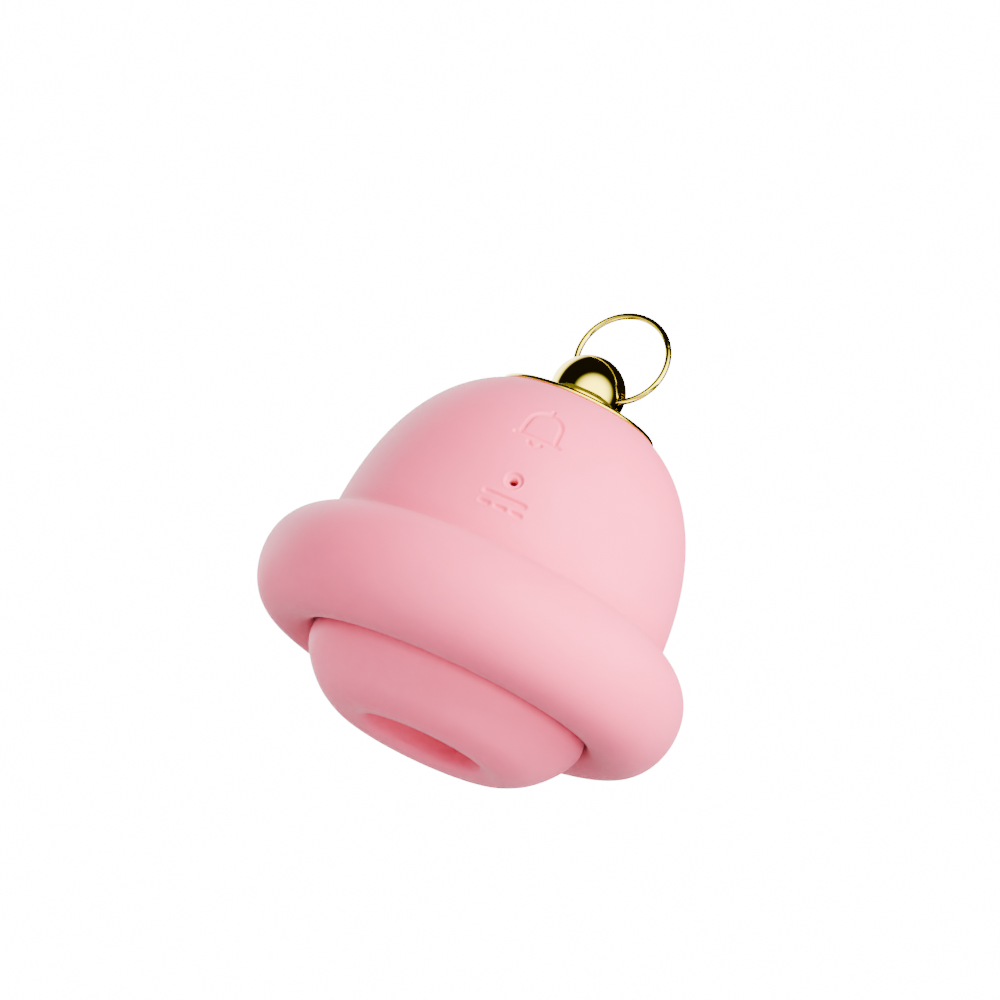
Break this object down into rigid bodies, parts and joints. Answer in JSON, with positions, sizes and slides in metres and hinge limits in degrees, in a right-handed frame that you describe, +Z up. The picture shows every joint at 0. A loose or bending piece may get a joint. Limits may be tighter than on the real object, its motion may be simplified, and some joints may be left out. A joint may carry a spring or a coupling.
{
  "type": "bell-shaped air-pulse massager",
  "caption": "Hand-held battery massager shaped like a bell, with a soft skin, a suction cup driven by a small pump, a press button, and a gold cap with a ball and a hanging ring.",
  "frame": {"origin": "centre of the suction cup's lip, at its lowest point", "axes": "+Z up along the bell's axis towards the ball and ring, -Y towards the button and charge socket"},
  "size_m": [0.056, 0.056, 0.0612],
  "materials": {
    "silicone": "matte soft-touch",
    "gold": "mirror plated",
    "steel": "plated",
    "case_plastic": "moulded",
    "frame_plastic": "moulded",
    "seal_rubber": "matte",
    "board": "solder mask",
    "switch_metal": "stamped",
    "black_plastic": "moulded",
    "socket_plastic": "moulded",
    "light_window": "clear tinted",
    "contact": "plated",
    "cell_wrap": "shrink wrap",
    "foam": "foam",
    "wire_cover": "soft",
    "motor_steel": "drawn",
    "pump_silicone": "soft"
  },
  "bodies": {
    "shell": {"bell_skin": "silicone", "suction_cup": "silicone", "cap_disc": "gold", "ball_finial": "gold", "finial_washer": "steel", "finial_nut": "steel", "upper_case": "case_plastic", "lower_case": "case_plastic", "case_seal": "seal_rubber", "case_screws": "steel", "control_board": "board", "switch_body": "switch_metal", "switch_stem": "black_plastic", "board_chips": "black_plastic", "status_light": "light_window", "board_screws": "steel", "charge_socket": "socket_plastic", "socket_contact": "contact", "cell": "cell_wrap", "cell_pad": "foam", "cell_leads": "wire_cover", "drive_frame": "frame_plastic", "frame_screws": "steel", "motor_can": "motor_steel", "motor_end_cap": "black_plastic", "motor_strap": "steel", "strap_screws": "steel", "bellows": "pump_silicone"},
    "ring": {"hanging_ring": "gold"},
    "button": {"button_pad": "silicone", "button_plunger": "case_plastic"},
    "crank": {"motor_shaft": "steel", "crank_disc": "frame_plastic", "crank_pin": "steel"},
    "rod": {"connecting_rod": "frame_plastic"},
    "piston": {"piston": "pump_silicone", "piston_pin": "steel"}
  },
  "joints": [
    {"name": "ring_swing", "type": "hinge", "parent": "shell", "child": "ring", "pos_m": [0.00059, -0.00005, 0.05077], "axis": [0.8876, -0.3099, -0.3408], "range_deg": [-85, 85]},
    {"name": "button_press", "type": "slide", "parent": "shell", "child": "button", "axis": [0, 0.8668, -0.4986], "range_m": [0, 0.0004], "stiffness_N_per_m": 2000},
    {"name": "crank_spin", "type": "hinge", "parent": "shell", "child": "crank", "pos_m": [0, 0, 0.0262], "axis": [1, 0, 0], "continuous": true},
    {"name": "rod_turn", "type": "hinge", "parent": "crank", "child": "rod", "pos_m": [0, 0.0006, 0.0262], "axis": [1, 0, 0], "continuous": true},
    {"name": "piston_stroke", "type": "slide", "parent": "shell", "child": "piston", "axis": [0, 0, 1], "range_m": [-0.0006, 0.0006], "stiffness_N_per_m": 300, "deforming": ["bellows"]}
  ],
  "couplings": [
    {"joint": "rod_turn", "follows": "crank_spin", "ratio": -1}
  ]
}
